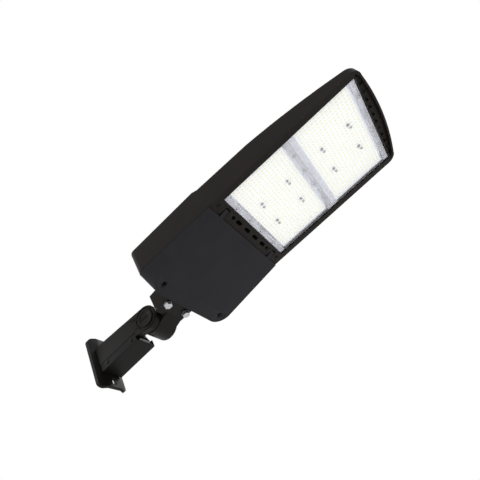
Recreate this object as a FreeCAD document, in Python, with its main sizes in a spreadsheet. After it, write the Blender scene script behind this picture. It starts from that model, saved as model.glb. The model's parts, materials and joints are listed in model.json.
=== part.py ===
"""Shoebox area light on a tilting pole arm, in millimetres.

+X runs from the pole to the tip, +Z is up, and the part is alike on both sides of Y = 0.
The origin is the centre of the two bolt slots, on the back of the pole plate's flat.
Three groups are built in frames of their own: the arm from the origin, the knuckle from
its pivot, and the head from the middle of its mounting end, at the level of its lower rim.
"""

import FreeCAD, Part

import math
import os

import Sketcher

doc = FreeCAD.newDocument("shoebox_area_light")
sheet = doc.addObject("Spreadsheet::Sheet", "sizes")

DRIVING_SIZES = {
    # pole plate and arm
    "plate_height": 146,
    "plate_thick": 8,
    "plate_flat": 40,
    "wing_reach": 24,
    "wing_sweep": 9,
    "wing_corner": 14,
    "pole_slot_spacing": 110,
    "pole_slot_width": 13,
    "pole_slot_length": 22,
    "pole_wire_hole": 26,
    "arm_width": 66,
    "arm_root_height": 72,
    "arm_end_height": 65,
    "arm_wall": 5,
    "arm_length": 124,
    "arm_end_slant": 20,
    "wiring_cover_thick": 2.5,
    "wiring_cover_lip": 20,
    "arm_screw": 4,
    "arm_screw_head": 7.5,
    "grommet_hole": 18,
    "grommet_wall": 3,
    "grommet_aside": 10,
    "grommet_rise": 3,
    # tilting knuckle
    "knuckle_ahead": 42,
    "knuckle_rise": -2,
    "ear_radius": 32,
    "ear_thick": 18,
    "hub_radius": 33,
    "hub_width": 60.6,
    "knuckle_bolt": 12,
    "knuckle_hex": 19,
    "knuckle_head": 5,
    "knuckle_nut": 10,
    "knuckle_recess": 9,
    "nut_recess": 6,
    "cap_radius": 19,
    "cap_brim": 3,
    "washer_thick": 2,
    "tongue_width": 90,
    "tongue_thick": 10,
    "tongue_drop": 6,
    "tongue_length": 50,
    "bracket_bolt": 10,
    "bracket_hex": 17,
    "bracket_bolt_spacing": 68,
    "bracket_bolt_inset": 20,
    # housing
    "head_gap": 90,
    "rim_drop": 0.5,
    "housing_width": 309,
    "mount_corner": 16,
    "tip_corner": 22,
    "tip_bow": 12,
    "mount_height": 64,
    "driver_height": 70,
    "fin_height": 65,
    "shoulder_height": 61,
    "shoulder_length": 142,
    "slope_end_height": 20,
    "slope_radius": 1600,
    "nose_length": 35,
    "tip_height": 7,
    "tip_length": 28,
    "tip_recess": 7,
    "tip_rib_low": 2,
    "housing_wall": 5,
    "driver_bay_length": 209,
    "bulkhead": 6,
    "strip_length": 29,
    "strip_height": 12,
    "vent_slot_pitch": 36.6,
    "vent_slot_length": 21,
    "vent_slot_width": 9,
    "fin_pitch": 12,
    "fin_thick": 2.4,
    "fin_inset": 2,
    "ledge_thick": 14.5,
    "gusset_thick": 8,
    "gusset_height": 38,
    # lamp modules
    "lens_length": 180,
    "lens_width": 274,
    "lens_gap": 0.4,
    "lens_height": 9,
    "lens_wall": 3,
    "lens_flange": 5,
    "lens_end_margin": 14,
    "lens_side_margin": 4,
    "base_plate": 6,
    "gasket_thick": 3,
    "board_thick": 1.6,
    "post_radius": 5,
    "post_pitch": 77,
    "lens_screw": 4,
    "lens_screw_head": 7.5,
    # driver cover
    "cover_depth": 39,
    "cover_taper": 16,
    "cover_end_taper": 1,
    "cover_corner": 42,
    "cover_wall": 3.2,
    "cover_rim": 7,
    "cover_gap": 0.5,
    "cover_screw": 6,
    "cover_boss": 9,
    "cover_screw_in": 26,
    "cover_screw_aside": 46,
    "cover_gasket_deep": 2.5,
    "cover_gasket_wide": 3,
    "corner_screw": 5,
    "corner_screw_aside": 15,
    "hinge_x_in_strip": 15,
    "hinge_rise": 5,
    "hinge_offset": 108,
    "hinge_width": 12,
    "hinge_pin": 5,
    "hinge_eye": 5,
    # pieces inside the driver bay
    "tray_thick": 2,
    "tray_drop": 5,
    "tray_screw_offset": 106,
    "driver_setback": 66,
    "driver_length": 220,
    "driver_width": 72,
    "driver_tall": 36,
    "driver_foot": 2,
    "surge_length": 36,
    "surge_width": 56,
    "surge_tall": 24,
    "surge_offset": 64,
    "terminal_length": 22,
    "terminal_width": 54,
    "terminal_tall": 18,
    "terminal_offset": 57,
    "terminal_pitch": 17,
    "gland_thread": 20,
    "gland_hex": 24,
    "gland_flange": 8,
    "gland_dome": 12,
    "gland_lock_nut": 5,
    "ground_thread": 5,
    "ground_offset": 64,
    "ground_rise": 30,
    "wire": 6,
    "lead": 4,
    # clearances
    "slip": 0.3,
    "running": 0.06,
}
for row, (name, millimetres) in enumerate(DRIVING_SIZES.items(), start=1):
    sheet.set(f"A{row}", name)
    sheet.set(f"B{row}", str(millimetres))
    sheet.setAlias(f"B{row}", name)
doc.recompute()


class Size(float):
    """A length in millimetres that remembers the sheet formula it stands for."""

    def __new__(cls, number, formula=None):
        size = super().__new__(cls, number)
        size.formula = formula or f"{float(number):.6f}"
        return size

    def __add__(self, other):
        return Size(float(self) + float(other), f"({self.formula} + {formula_of(other)})")

    def __sub__(self, other):
        return Size(float(self) - float(other), f"({self.formula} - {formula_of(other)})")

    def __mul__(self, other):
        return Size(float(self) * float(other), f"({self.formula} * {formula_of(other)})")

    def __truediv__(self, other):
        return Size(float(self) / float(other), f"({self.formula} / {formula_of(other)})")

    def __radd__(self, other):
        return Size(other) + self

    def __rsub__(self, other):
        return Size(other) - self

    def __rmul__(self, other):
        return Size(other) * self

    def __neg__(self):
        return Size(-float(self), f"(0 - {self.formula})")


def as_size(length):
    return length if isinstance(length, Size) else Size(length)


def formula_of(length):
    return as_size(length).formula


class Sizes:
    """The sheet's cells by name: housing_length(), and so on."""

    def __getattr__(self, name):
        return Size(float(sheet.get(name)), f"sizes.{name}")


sizes = Sizes()


def bind(thing, **lengths):
    """Ties properties of an object to sheet formulas; x, y and z are its place."""
    paths = {"x": ".Placement.Base.x", "y": ".Placement.Base.y", "z": ".Placement.Base.z"}
    for prop, length in lengths.items():
        thing.setExpression(paths.get(prop, prop), formula_of(length))
    return thing


# ---------------------------------------------------------------- outlines and features

def rectangle(x0, y0, x1, y1):
    return [(x0, y0), (x1, y0), (x1, y1), (x0, y1)]


def rounded(x0, y0, x1, y1, r):
    """Rectangle with all four corners rounded; a third number is the arc's radius."""
    return [(x0 + r, y0), (x1 - r, y0), (x1, y0 + r, r), (x1, y1 - r), (x1 - r, y1, r),
            (x0 + r, y1), (x0, y1 - r, r), (x0, y0 + r), (x0 + r, y0, r)][:-1] + [("close", r)]


def slot(x, y, length, width):
    """Slot along the sketch's second axis."""
    r = width / 2
    run = length / 2 - r
    return [(x - r, y - run), (x + r, y - run, r), (x + r, y + run), (x - r, y + run, r)]


def hexagon(x, y, across):
    flat = across / 2
    tip = across / math.sqrt(3)
    return [(x + tip, y), (x + tip / 2, y + flat), (x - tip / 2, y + flat),
            (x - tip, y), (x - tip / 2, y - flat), (x + tip / 2, y - flat)]


def circle(x, y, r):
    return ("circle", x, y, r)


def circles(places, r):
    return [circle(x, y, r) for x, y in places]


def fix_point(sketch, geometry, end, x, y):
    """Places one end of a line or arc at x, y, by two dimensions tied to the sheet."""
    for kind, length in (("DistanceX", x), ("DistanceY", y)):
        index = sketch.addConstraint(Sketcher.Constraint(kind, -1, 1, geometry, end, float(length)))
        sketch.setExpression(f"Constraints[{index}]", formula_of(length))


def draw_circle(sketch, x, y, r):
    centre = FreeCAD.Vector(float(x), float(y), 0)
    index = sketch.addGeometry(Part.Circle(centre, FreeCAD.Vector(0, 0, 1), float(r)), False)
    fix_point(sketch, index, 3, x, y)
    radius = sketch.addConstraint(Sketcher.Constraint("Radius", index, float(r)))
    sketch.setExpression(f"Constraints[{radius}]", formula_of(r))


def draw_outline(sketch, corners):
    """Closed outline. A corner's third number is the radius of the arc that leads to it from
    the corner before, bulging outwards on an outline that runs anticlockwise."""
    close = None
    if corners[-1][0] == "close":
        close = corners[-1][1]
        corners = corners[:-1]
    ends = []
    for i, corner in enumerate(corners):
        before = corners[i - 1]
        radius = corner[2] if len(corner) > 2 else (close if i == 0 else None)
        a = FreeCAD.Vector(float(before[0]), float(before[1]), 0)
        b = FreeCAD.Vector(float(corner[0]), float(corner[1]), 0)
        if radius is None:
            index = sketch.addGeometry(Part.LineSegment(a, b), False)
            ends.append((index, 1, 2))
            continue
        r = abs(float(radius))
        chord = b - a
        half = chord.Length / 2
        side = FreeCAD.Vector(-chord.y, chord.x, 0).normalize()
        turn = 1 if float(radius) > 0 else -1
        centre = (a + b) / 2 + side * (turn * math.sqrt(max(r * r - half * half, 0)))
        start, stop = (a, b) if turn > 0 else (b, a)
        angles = [math.atan2(p.y - centre.y, p.x - centre.x) for p in (start, stop)]
        ring = Part.Circle(centre, FreeCAD.Vector(0, 0, 1), r)
        index = sketch.addGeometry(Part.ArcOfCircle(ring, angles[0], angles[1]), False)
        ends.append((index, 1, 2) if turn > 0 else (index, 2, 1))
        if half < r * 0.999:
            limit = sketch.addConstraint(Sketcher.Constraint("Radius", index, r))
            sketch.setExpression(f"Constraints[{limit}]", formula_of(radius * turn))
            continue
        # a half round: its centre lies midway between its ends
        kind, axis = ("DistanceX", 0) if abs(chord.x) < abs(chord.y) else ("DistanceY", 1)
        middle = (as_size(before[axis]) + corner[axis]) / 2
        limit = sketch.addConstraint(Sketcher.Constraint(kind, -1, 1, index, 3, float(middle)))
        sketch.setExpression(f"Constraints[{limit}]", formula_of(middle))
    for i, (index, first, last) in enumerate(ends):
        following = ends[(i + 1) % len(ends)]
        sketch.addConstraint(Sketcher.Constraint("Coincident", index, last, following[0], following[1]))
        fix_point(sketch, index, last, corners[i][0], corners[i][1])


def new_body(label, x=0, y=0, z=0):
    body = doc.addObject("PartDesign::Body", label)
    body.Label = label
    body.AllowCompound = True
    return bind(body, x=x, y=y, z=z)


def sketch_in(body, plane, offset, shapes):
    sketch = body.newObject("Sketcher::SketchObject", f"{body.Name}_sketch")
    role = f"{plane}_Plane"
    support = next(item for item in body.Origin.OriginFeatures if item.Role == role)
    sketch.AttachmentSupport = [(support, "")]
    sketch.MapMode = "FlatFace"
    sketch.setExpression(".AttachmentOffset.Base.z", formula_of(offset))
    for shape in shapes:
        if shape[0] == "circle":
            draw_circle(sketch, *shape[1:])
        else:
            draw_outline(sketch, shape)
    return sketch


def pad(body, plane, low, high, *shapes):
    """Material between two heights along X, Y or Z. The XZ plane looks along -Y."""
    offset = -high if plane == "XZ" else low
    feature = body.newObject("PartDesign::Pad", f"{body.Name}_pad")
    feature.Profile = sketch_in(body, plane, offset, shapes)
    return bind(feature, Length=as_size(high) - low)


def pocket(body, plane, low, high, *shapes):
    """Takes material away between two heights along X, Y or Z."""
    offset = -low if plane == "XZ" else high
    feature = body.newObject("PartDesign::Pocket", f"{body.Name}_pocket")
    feature.Profile = sketch_in(body, plane, offset, shapes)
    return bind(feature, Length=as_size(high) - low)


def loft(body, sections, kind="PartDesign::AdditiveLoft"):
    """Straight-sided solid between outlines at heights given in order."""
    sketches = [sketch_in(body, "XY", height, [outline]) for height, outline in sections]
    feature = body.newObject(kind, f"{body.Name}_loft")
    feature.Profile = sketches[0]
    feature.Sections = sketches[1:]
    feature.Ruled = True
    return feature


def repeat(body, feature, axis, step, count):
    """Copies of a feature in a row along X, Y or Z."""
    pattern = body.newObject("PartDesign::LinearPattern", f"{body.Name}_row")
    role = f"{axis}_Axis"
    line = next(item for item in body.Origin.OriginFeatures if item.Role == role)
    pattern.Originals = [feature]
    pattern.Direction = (line, [""])
    pattern.Mode = "Spacing"
    bind(pattern, Offset=step)
    pattern.setExpression("Occurrences", formula_of(count))
    body.Tip = pattern
    return pattern


def cut(label, base, *tools):
    """Base less its tools, as one boolean object that takes the sub-part's name."""
    result = doc.addObject("Part::Cut", label)
    result.Base = base
    result.Tool = tools[0] if len(tools) == 1 else fuse(f"{label}_tools", *tools)
    result.Label = label
    return result


def fuse(label, *pieces):
    result = doc.addObject("Part::MultiFuse", label)
    result.Shapes = list(pieces)
    result.Label = label
    return result


subparts = []


def keep(piece):
    subparts.append(piece)
    return piece


def both(length):
    """A length on each side of the middle plane."""
    return (-length, length)


# ---------------------------------------------------------------- pole plate and arm

def saddle_outline():
    """Plan of the plate: a flat in the middle and wings swept back towards the pole."""
    flat = sizes.plate_flat / 2
    edge = flat + sizes.wing_reach
    back = -sizes.wing_sweep
    thick = sizes.plate_thick
    return [(back, -edge), (back + thick, -edge), (thick, -flat), (thick, flat),
            (back + thick, edge), (back, edge), (0, flat), (0, -flat)]


def arm_side(start, end, top_inset, slant):
    """Side of the arm, lower at its end than at its root; the end face leans back at the top."""
    root = sizes.arm_root_height / 2 - top_inset
    tail = sizes.arm_end_height / 2 - top_inset
    return [(start, -root), (end, -tail), (end - slant, tail), (start, root)]


def make_pole_arm():
    arm = new_body("pole_arm")
    tall = sizes.plate_height / 2
    pad(arm, "XY", -tall, tall, saddle_outline())
    edge = sizes.plate_flat / 2 + sizes.wing_reach
    front = sizes.plate_thick
    r = sizes.wing_corner
    for side in (-1, 1):
        for end in (-1, 1):
            corner = [(side * edge, end * (tall - r)), (side * (edge + 1), end * (tall - r)),
                      (side * (edge + 1), end * (tall + 1)), (side * (edge - r), end * (tall + 1)),
                      (side * (edge - r), end * tall)]
            turn = -side * end
            corner[0] = (corner[0][0], corner[0][1], r * turn)
            pocket(arm, "YZ", -sizes.wing_sweep - 1, front + 1, corner)
    half = sizes.arm_width / 2
    end = sizes.arm_length
    wall = sizes.arm_wall
    pad(arm, "XZ", -half, half, arm_side(front - 1, end, 0, sizes.arm_end_slant))
    # the ear: the near wall runs on, thicker, to a round end about the pivot
    x = knuckle_reach()
    z = sizes.knuckle_rise
    r = sizes.ear_radius
    root = end - sizes.arm_end_slant - wall
    top = sizes.arm_end_height / 2
    pad(arm, "XZ", -half, -half + sizes.ear_thick,
        [(root, -top / 2), (x, z - r), (x, z + r, r), (root, top)])
    # wiring channel, open below, with side walls thinned where the cover's lips lie
    inner = half - wall
    pocket(arm, "XZ", -inner, inner,
           arm_side(front + 4, end - wall, wall, sizes.arm_end_slant))
    below = sizes.arm_root_height
    lip = sizes.wiring_cover_lip
    skin = sizes.wiring_cover_thick + sizes.slip
    root_half = sizes.arm_root_height / 2
    tail_half = sizes.arm_end_height / 2
    cover_end = end + 1
    seat = [(front, -below), (cover_end, -below), (cover_end, lip - tail_half), (front, lip - root_half)]
    for side in (-1, 1):
        low, high = sorted((side * (half + 1), side * (half - skin)))
        pocket(arm, "XZ", low, high, seat)
    floor = [(front, -below), (cover_end, -below), (cover_end, skin - tail_half), (front, skin - root_half)]
    pocket(arm, "XZ", -half - 1, half + 1, floor)
    well = [(front + 4, -below), (end - wall - 1, -below),
            (end - wall - 1, 0), (front + 4, 0)]
    pocket(arm, "XZ", -inner, inner, well)
    # holes: pole bolts, pole wires, grommet, cover screws, knuckle bolt
    for end_z in both(sizes.pole_slot_spacing / 2):
        pocket(arm, "YZ", -1, front + 1,
               slot(0, end_z, sizes.pole_slot_length, sizes.pole_slot_width))
    pocket(arm, "YZ", -1, front + 5, circle(0, 0, sizes.pole_wire_hole / 2))
    pocket(arm, "YZ", end - sizes.arm_end_slant - wall * 2, end + 1,
           circle(sizes.grommet_aside, sizes.grommet_rise, sizes.grommet_hole / 2))
    for x_screw in arm_screw_places():
        pocket(arm, "XZ", -half - 1, half + 1, circle(x_screw, arm_screw_z(), sizes.arm_screw / 2))
    pocket(arm, "XZ", -half - 1, half, circle(x, z, sizes.knuckle_bolt / 2 + sizes.slip))
    pocket(arm, "XZ", -half - 1, -half + sizes.knuckle_recess, circle(x, z, sizes.cap_radius + sizes.slip))
    return keep(arm)


def arm_screw_places():
    return (sizes.plate_thick + 20, sizes.arm_length - 16)


def arm_screw_z():
    return sizes.wiring_cover_lip / 2 - sizes.arm_end_height / 2


def make_wiring_cover():
    """Channel-shaped cover under the arm: a floor and two side lips, fixed by side screws."""
    cover = new_body("arm_wiring_cover")
    half = sizes.arm_width / 2
    skin = sizes.wiring_cover_thick
    start = sizes.plate_thick + sizes.slip
    end = sizes.arm_length
    root = sizes.arm_root_height / 2
    tail = sizes.arm_end_height / 2
    lip = sizes.wiring_cover_lip - sizes.slip
    outside = half - 0.6
    pad(cover, "XZ", -outside, outside,
        [(start, -root), (end, -tail), (end, lip - tail), (start, lip - root)])
    inside = outside - skin + sizes.slip
    pocket(cover, "XZ", -inside, inside,
           [(start - 1, skin - root), (end + 1, skin - tail), (end + 1, root), (start - 1, root)])
    for x_screw in arm_screw_places():
        pocket(cover, "XZ", -half - 1, half + 1,
               circle(x_screw, arm_screw_z(), sizes.arm_screw / 2 + sizes.slip / 2))
    return keep(cover)


def screw_set(label, frame, plane, seat, direction, head, head_tall, shank, depth, places):
    """Like screws in one node: heads outside the seat, shanks going in, along one axis."""
    body = new_body(label, *frame)
    out = sorted((float(seat), float(seat) - direction * float(head_tall)))
    heads = (seat, seat - direction * head_tall)
    shanks = (seat, seat + direction * depth)
    low, high = heads if float(heads[0]) == out[0] else heads[::-1]
    pad(body, plane, low, high, *circles(places, head / 2))
    low, high = shanks if float(shanks[0]) < float(shanks[1]) else shanks[::-1]
    pad(body, plane, low, high, *circles(places, shank / 2))
    return body


def make_arm_cover_screws():
    half = sizes.arm_width / 2
    places = [(x, arm_screw_z()) for x in arm_screw_places()]
    sets = []
    for name, side in (("near", -1), ("far", 1)):
        seat = side * (half - 0.6)
        sets.append(screw_set(f"arm_screws_{name}", (), "XZ", seat, -side, sizes.arm_screw_head, 1.8,
                              sizes.arm_screw - 2 * sizes.running, sizes.arm_wall, places))
    return keep(fuse("arm_cover_screws", *sets))


def make_grommet():
    """Rubber grommet where the wires leave the arm through its slanted end."""
    grommet = new_body("arm_wire_grommet")
    end = sizes.arm_length
    middle = end - sizes.arm_end_slant / 2 - sizes.arm_wall / 2
    hole = sizes.grommet_hole / 2
    reach = sizes.arm_wall + 3
    middle_yz = (sizes.grommet_aside, sizes.grommet_rise)
    pad(grommet, "YZ", middle - reach, middle + reach, circle(*middle_yz, hole - sizes.running))
    pocket(grommet, "YZ", middle - reach, middle + reach, circle(*middle_yz, hole - sizes.grommet_wall))
    return keep(grommet)


# ---------------------------------------------------------------- knuckle

def knuckle_reach():
    return sizes.arm_length + sizes.knuckle_ahead


def pivot():
    return (knuckle_reach(), 0, sizes.knuckle_rise)


def ear_inside():
    return sizes.ear_thick - sizes.arm_width / 2


def hub_near():
    return ear_inside() + sizes.slip + 0.1


def hub_far():
    return hub_near() + sizes.hub_width


def make_tilt_bracket():
    """Hub that turns against the ear, and a tongue that bolts up under the housing's ledge."""
    bracket = new_body("tilt_bracket", *pivot())
    r = sizes.hub_radius
    near = hub_near()
    far = hub_far()
    top = -sizes.tongue_drop
    low = top - sizes.tongue_thick
    tip = sizes.head_gap - sizes.cover_gap - 2
    start = tip - sizes.tongue_length
    half = sizes.tongue_width / 2
    pad(bracket, "XZ", near, far, circle(0, 0, r))
    pad(bracket, "XZ", near, far - 4,
        [(0, -r), (start + 12, low), (tip, low), (tip, top), (start, top), (r * 0.8, r * 0.6),
         (0, r * 0.9)])
    pad(bracket, "XY", low, top, rounded(start, -half, tip, half, 8))
    pocket(bracket, "XZ", near - 1, far + 1, circle(0, 0, sizes.knuckle_bolt / 2 + sizes.running))
    pocket(bracket, "XZ", far - sizes.nut_recess, far + 1, circle(0, 0, sizes.knuckle_hex * 0.68))
    for y in both(sizes.bracket_bolt_spacing / 2):
        pocket(bracket, "XY", low - 8, top + 1, circle(bracket_bolt_x(), y, sizes.bracket_bolt / 2 + sizes.slip))
    return keep(bracket)


def bracket_bolt_x():
    """The two bolts stand in from the tongue's tip, measured out from the pivot."""
    return sizes.head_gap - sizes.bracket_bolt_inset - 2


def make_bracket_bolts():
    """Hex bolts from below, through washers and the tongue, into the housing's ledge."""
    seat = -sizes.tongue_drop - sizes.tongue_thick
    washers = new_body("bracket_washers", *pivot())
    bolts = new_body("bracket_bolts", *pivot())
    under = seat - sizes.washer_thick
    x = bracket_bolt_x()
    places = [(x, y) for y in both(sizes.bracket_bolt_spacing / 2)]
    r = sizes.bracket_bolt / 2
    pad(washers, "XY", under, seat, *circles(places, r * 2), *circles(places, r + 0.4))
    pad(bolts, "XY", under - r * 1.28, under, *[hexagon(a, b, sizes.bracket_hex) for a, b in places])
    pad(bolts, "XY", under, -sizes.tongue_drop + sizes.ledge_thick - 1, *circles(places, r))
    keep(washers)
    return keep(bolts)


def make_knuckle_bolt():
    """Hex bolt through ear and hub, with its head in the ear, under a round cap."""
    bolt = new_body("knuckle_bolt", *pivot())
    half = sizes.arm_width / 2
    seat = -half + sizes.knuckle_recess
    head = seat - sizes.washer_thick
    tall = sizes.knuckle_head
    end = hub_far() + sizes.knuckle_nut - 1
    hexes = hexagon(0, 0, sizes.knuckle_hex)
    pad(bolt, "XZ", head - tall, head, hexes)
    pad(bolt, "XZ", head, end, circle(0, 0, sizes.knuckle_bolt / 2))
    keep(bolt)
    washers = new_body("knuckle_washers", *pivot())
    ring = (circle(0, 0, sizes.knuckle_bolt), circle(0, 0, sizes.knuckle_bolt / 2 + 0.3))
    far_seat = hub_far() - sizes.nut_recess + sizes.slip
    pad(washers, "XZ", head, seat, *ring)
    pad(washers, "XZ", far_seat, far_seat + sizes.washer_thick, *ring)
    keep(washers)
    nut = new_body("knuckle_nut", *pivot())
    bottom = far_seat + sizes.washer_thick
    pad(nut, "XZ", bottom, bottom + sizes.knuckle_nut, hexes, circle(0, 0, sizes.knuckle_bolt / 2))
    keep(nut)
    cap = new_body("knuckle_cap", *pivot())
    r = sizes.cap_radius
    face = -half - 3
    pad(cap, "XZ", face, head - tall - sizes.slip, circle(0, 0, r))
    pad(cap, "XZ", face, -half, circle(0, 0, r + sizes.cap_brim))
    pocket(cap, "XZ", face - 1, face + 1.5, circle(0, 0, r - 2))
    pocket(cap, "XZ", face - 1, face + 3, rectangle(-r * 0.55, -1.5, r * 0.55, 1.5))
    keep(cap)


# ---------------------------------------------------------------- housing

def head():
    return (knuckle_reach() + sizes.head_gap, 0, sizes.knuckle_rise - sizes.rim_drop)


def strip_start():
    """Past the bulkhead that closes the driver bay."""
    return sizes.driver_bay_length + sizes.bulkhead


def lens_start():
    return strip_start() + sizes.strip_length


def lens_end():
    return lens_start() + 2 * sizes.lens_length


def housing_length():
    return lens_end() + sizes.tip_length


def roof_underside():
    return sizes.mount_height - sizes.housing_wall


def hinge_x():
    return strip_start() + sizes.hinge_x_in_strip


def plan_outline(inset):
    """The head from above: round corners at the mounting end, a gentle bow at the tip."""
    half = sizes.housing_width / 2 - inset
    mount = sizes.mount_corner - inset
    tip = sizes.tip_corner - inset
    start = inset
    shoulder = housing_length() - sizes.tip_bow - inset
    side_end = shoulder - tip
    chord = half - tip
    bow = sizes.tip_bow
    bow_radius = (chord * chord + bow * bow) / (bow * 2)
    return [(start + mount, -half), (side_end, -half), (shoulder, -half + tip, tip),
            (shoulder, half - tip, bow_radius), (side_end, half, tip), (start + mount, half),
            (start, half - mount, mount), (start, -half + mount), ("close", mount)]


def shoulder_x():
    return strip_start() + sizes.shoulder_length


def top_line(drop):
    """Points of the head's upper silhouette, from the mounting end to the tip."""
    step = strip_start() - 2
    return [(0, sizes.mount_height - drop), (step - 14, sizes.driver_height - drop),
            (step, sizes.fin_height - drop), (shoulder_x(), sizes.shoulder_height - drop),
            (housing_length() - sizes.nose_length, sizes.slope_end_height - drop, -sizes.slope_radius),
            (housing_length() - sizes.tip_bow, sizes.tip_height * 2 - drop),
            (housing_length(), sizes.tip_height - drop)]


def sky(drop):
    """Everything above the upper silhouette, to be cut away."""
    line = top_line(drop)
    high = sizes.driver_height * 2
    first = (-20, line[0][1])
    last = (housing_length() + 20, line[-1][1])
    return [first] + line + [last, (last[0], high), (first[0], high)]


def make_housing():
    """One casting: outer shell, driver bay, base plate with cooling fins, vents and ledge."""
    shell = new_body("housing_shell")
    half = sizes.housing_width / 2
    wall = sizes.housing_wall
    top = sizes.driver_height + 4
    pad(shell, "XY", 0, top, plan_outline(0))
    pocket(shell, "XZ", -half - 1, half + 1, sky(0))
    # driver bay, open below
    corner = sizes.mount_corner - wall
    bay_half = half - wall
    bay_end = sizes.driver_bay_length
    pocket(shell, "XY", -1, roof_underside(),
           [(wall + corner, -bay_half), (bay_end, -bay_half), (bay_end, bay_half),
            (wall + corner, bay_half), (wall, bay_half - corner, corner), (wall, -bay_half + corner),
            ("close", corner)])
    # the finned part is open above its base plate
    tip_inner = plan_outline(wall)
    recess = sizes.lens_height + sizes.gasket_thick
    inner = [(strip_start(), -bay_half)] + tip_inner[1:5] + [(strip_start(), bay_half)]
    pocket(shell, "XY", plate_top(), top + 1, inner)
    pocket(shell, "XY", sizes.strip_height, plate_top() + 1,
           rectangle(strip_start(), -bay_half, strip_end(), bay_half))
    # shallow recess under the nose, past the lenses' end
    low, high = tip_inner[2], tip_inner[3]
    aside = (sizes.tip_corner - wall) * 0.7
    pocket(shell, "XY", -1, sizes.tip_recess,
           [(vent_start(), low[1] - aside), low[:2], high, (vent_start(), high[1] + aside)])
    # recess for the lamp modules
    gap = sizes.lens_gap
    lens_half = sizes.lens_width / 2
    pocket(shell, "XY", -1, recess,
           rectangle(lens_start() - gap, -lens_half - gap, lens_end() + gap, lens_half + gap))
    add_housing_details(shell)
    return keep(place_in_head(fuse("housing", shell, make_fins(), make_tip_ribs())))


def vent_start():
    return lens_end() + 3


def strip_end():
    return lens_start() - 2


def plate_top():
    """Upper face of the base plate that carries the LED boards below and the fins above."""
    return sizes.lens_height + sizes.gasket_thick + sizes.base_plate


def fins_per_side():
    """As many fins as fit between the middle one and a side wall."""
    room = (sizes.housing_width / 2 - sizes.housing_wall - sizes.fin_pitch / 4) / sizes.fin_pitch
    return Size(math.floor(room), f"floor({room.formula})")


def make_fins():
    """Cooling fins along the head, their tops a little below the side walls'."""
    fins = new_body("housing_fins")
    line = top_line(sizes.fin_inset)
    under = plate_top() - 0.5
    start = strip_start() - 1
    low = sizes.strip_height - 0.5
    first = -fins_per_side() * sizes.fin_pitch
    thick = sizes.fin_thick / 2
    row = pad(fins, "XZ", first - thick, first + thick,
              [(start, low), (strip_end(), low), (strip_end(), under), (line[4][0], under), line[4][:2],
               (shoulder_x(), line[3][1], sizes.slope_radius), (start, line[2][1])])
    repeat(fins, row, "Y", sizes.fin_pitch, fins_per_side() * 2 + 1)
    return fins


def make_tip_ribs():
    """Low ribs across the recess under the nose, in line with every second fin."""
    ribs = new_body("housing_ribs")
    first = -(fins_per_side() - 1) * sizes.fin_pitch
    thick = sizes.fin_thick / 2
    end = housing_length() - sizes.tip_bow - sizes.housing_wall + 1
    row = pad(ribs, "XZ", first - thick, first + thick,
              rectangle(vent_start() - 1, sizes.tip_rib_low, end, sizes.tip_recess + 1))
    repeat(ribs, row, "Y", sizes.fin_pitch * 2, fins_per_side())
    return ribs


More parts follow.
